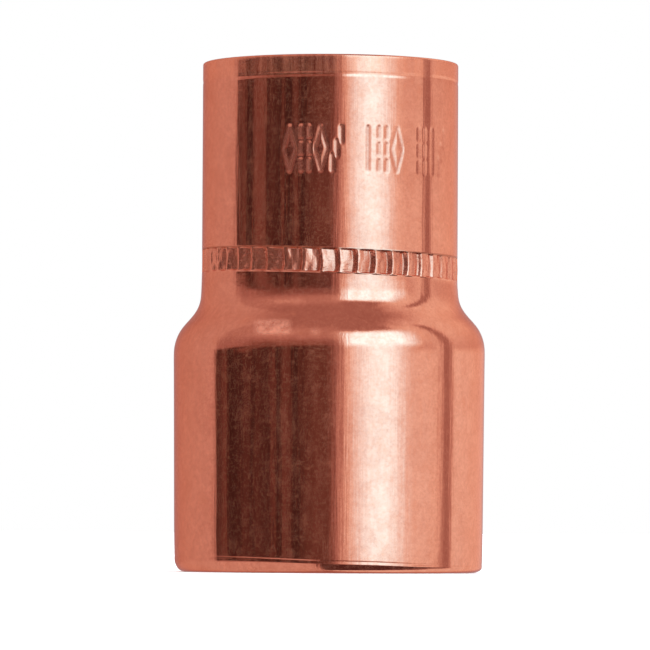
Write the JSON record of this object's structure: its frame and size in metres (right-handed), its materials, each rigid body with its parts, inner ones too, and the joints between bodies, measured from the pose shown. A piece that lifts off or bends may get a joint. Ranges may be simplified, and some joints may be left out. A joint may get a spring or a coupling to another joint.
{
  "type": "reducing coupling",
  "caption": "Copper tube fitting that joins two tubes of different diameter, with a soldered socket at each end and a rolled tube stop.",
  "frame": {"origin": "centre of the large socket's end face", "axes": "+Z along the coupling's axis from the large socket to the small socket, -Y towards the stamped strokes"},
  "size_m": [0.0168, 0.0168, 0.0274],
  "materials": {
    "copper": "bright drawn copper, lightly streaked and speckled"
  },
  "bodies": {
    "root": {"coupling_body": "copper"}
  },
  "joints": []
}
